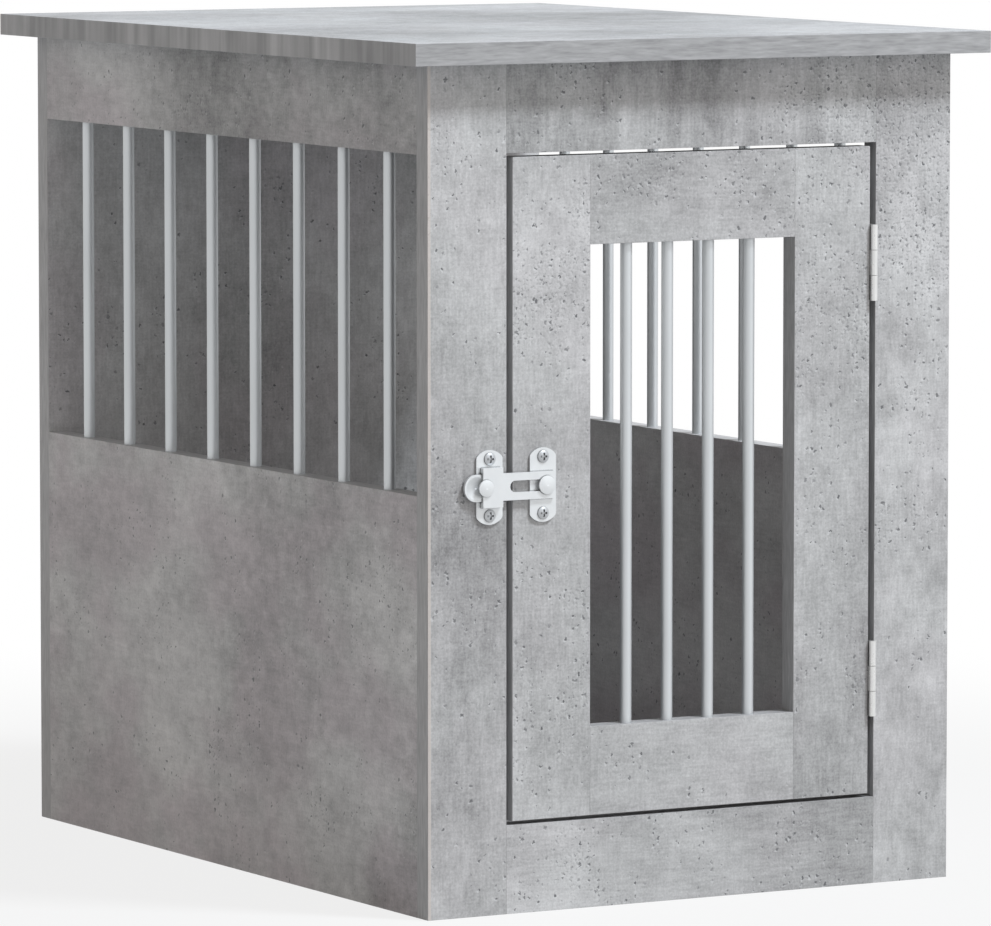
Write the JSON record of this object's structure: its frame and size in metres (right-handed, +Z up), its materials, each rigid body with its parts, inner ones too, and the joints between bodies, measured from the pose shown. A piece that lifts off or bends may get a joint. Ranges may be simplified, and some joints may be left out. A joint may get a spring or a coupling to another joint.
{
  "type": "pet crate",
  "caption": "Pet crate shaped like a side table: concrete-look board carcass, barred sides, overhanging top, and a barred hinged door held by a sliding fork latch.",
  "frame": {"origin": "on the floor under the middle of the tabletop", "axes": "+X to the right seen from the front, +Y from the door to the back, +Z up"},
  "size_m": [0.45, 0.62, 0.585],
  "materials": {
    "concrete_decor_board": "concrete-grey decor paper on particle board, satin",
    "bar_steel": "silver-grey powder coat, satin",
    "dowel_wood": "plain beech",
    "cam_zinc": "die-cast zinc",
    "bolt_steel": "zinc plated",
    "hinge_steel": "nickel plated, satin",
    "latch_steel": "nickel plated, satin",
    "screw_steel": "nickel plated"
  },
  "bodies": {
    "carcass": {"back_panel": "concrete_decor_board", "cam_bolts": "bolt_steel", "cam_locks": "cam_zinc", "carcass_dowels": "dowel_wood", "floor_panel": "concrete_decor_board", "frame_dowels": "dowel_wood", "front_header_rail": "concrete_decor_board", "front_left_stile": "concrete_decor_board", "front_right_stile": "concrete_decor_board", "front_sill_rail": "concrete_decor_board", "hinge_frame_screws": "hinge_steel", "latch_bridge": "latch_steel", "latch_frame_plate": "latch_steel", "latch_frame_screws": "screw_steel", "left_bar_1": "bar_steel", "left_bar_2": "bar_steel", "left_bar_3": "bar_steel", "left_bar_4": "bar_steel", "left_bar_5": "bar_steel", "left_bar_6": "bar_steel", "left_bar_7": "bar_steel", "left_bar_8": "bar_steel", "left_lower_panel": "concrete_decor_board", "left_top_rail": "concrete_decor_board", "lower_hinge_frame_leaf": "hinge_steel", "lower_hinge_pin": "hinge_steel", "right_bar_1": "bar_steel", "right_bar_2": "bar_steel", "right_bar_3": "bar_steel", "right_bar_4": "bar_steel", "right_bar_5": "bar_steel", "right_bar_6": "bar_steel", "right_bar_7": "bar_steel", "right_bar_8": "bar_steel", "right_lower_panel": "concrete_decor_board", "right_top_rail": "concrete_decor_board", "tabletop": "concrete_decor_board", "upper_hinge_frame_leaf": "hinge_steel", "upper_hinge_pin": "hinge_steel"},
    "door": {"door_bar_1": "bar_steel", "door_bar_2": "bar_steel", "door_bar_3": "bar_steel", "door_bar_4": "bar_steel", "door_bottom_rail": "concrete_decor_board", "door_dowels": "dowel_wood", "door_hinge_stile": "concrete_decor_board", "door_latch_stile": "concrete_decor_board", "door_top_rail": "concrete_decor_board", "hinge_door_screws": "hinge_steel", "latch_door_plate": "latch_steel", "latch_door_screws": "screw_steel", "latch_stud": "latch_steel", "lower_hinge_door_leaf": "hinge_steel", "upper_hinge_door_leaf": "hinge_steel"},
    "latch": {"latch_bar": "latch_steel", "latch_knob": "latch_steel"}
  },
  "joints": [
    {"name": "door_swing", "type": "hinge", "parent": "carcass", "child": "door", "pos_m": [0.14265, -0.292, 0.285], "axis": [0, 0, 1], "range_deg": [0, 175]},
    {"name": "latch_slide", "type": "slide", "parent": "carcass", "child": "latch", "axis": [-1, 0, 0], "range_m": [0, 0.033]}
  ]
}
